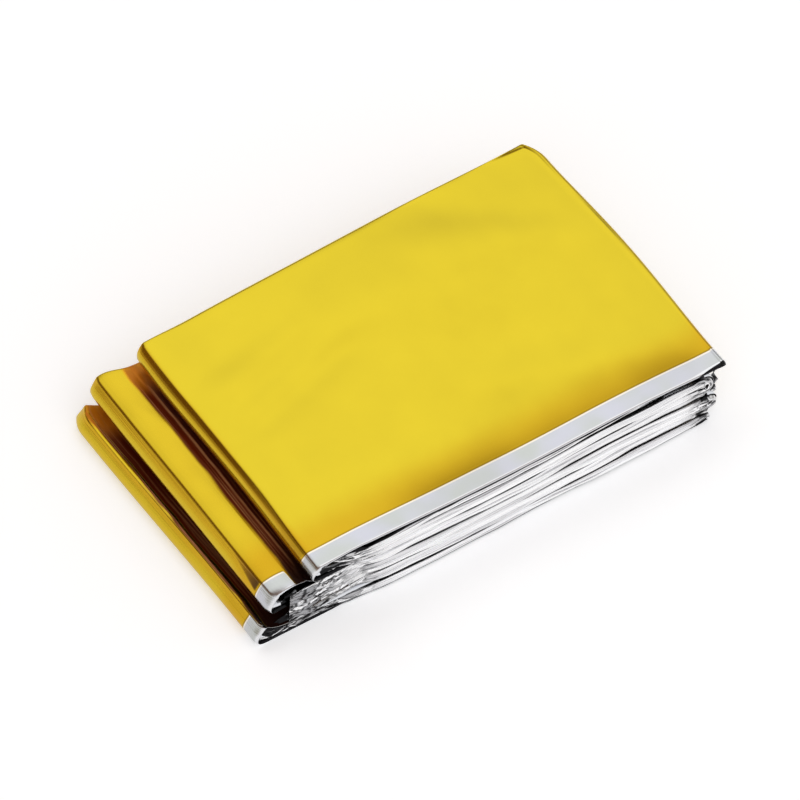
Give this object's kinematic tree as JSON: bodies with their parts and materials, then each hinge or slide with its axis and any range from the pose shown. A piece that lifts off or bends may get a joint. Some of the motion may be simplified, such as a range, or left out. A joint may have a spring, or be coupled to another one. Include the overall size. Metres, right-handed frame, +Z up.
{
  "type": "emergency foil blanket",
  "caption": "Emergency blanket of gold and silver metallised film, folded flat into a loose stack with rounded fold noses and a silver margin.",
  "frame": {"origin": "on the surface the blanket lies on, under the middle of its footprint", "axes": "+X along the folded panel, from the stepped folds on the left to the outer end on the right; +Y across the panel, from the silver margin at the front to the back edge; +Z up"},
  "size_m": [0.1514, 0.0974, 0.0226],
  "materials": {
    "gold_film": "metallised polyester film, gold side, mirror-like with fine creases",
    "silver_film": "metallised polyester film, bare silver side and margin, mirror-like with fine creases"
  },
  "bodies": {
    "root": {"foil_blanket": "gold_film"}
  },
  "joints": []
}
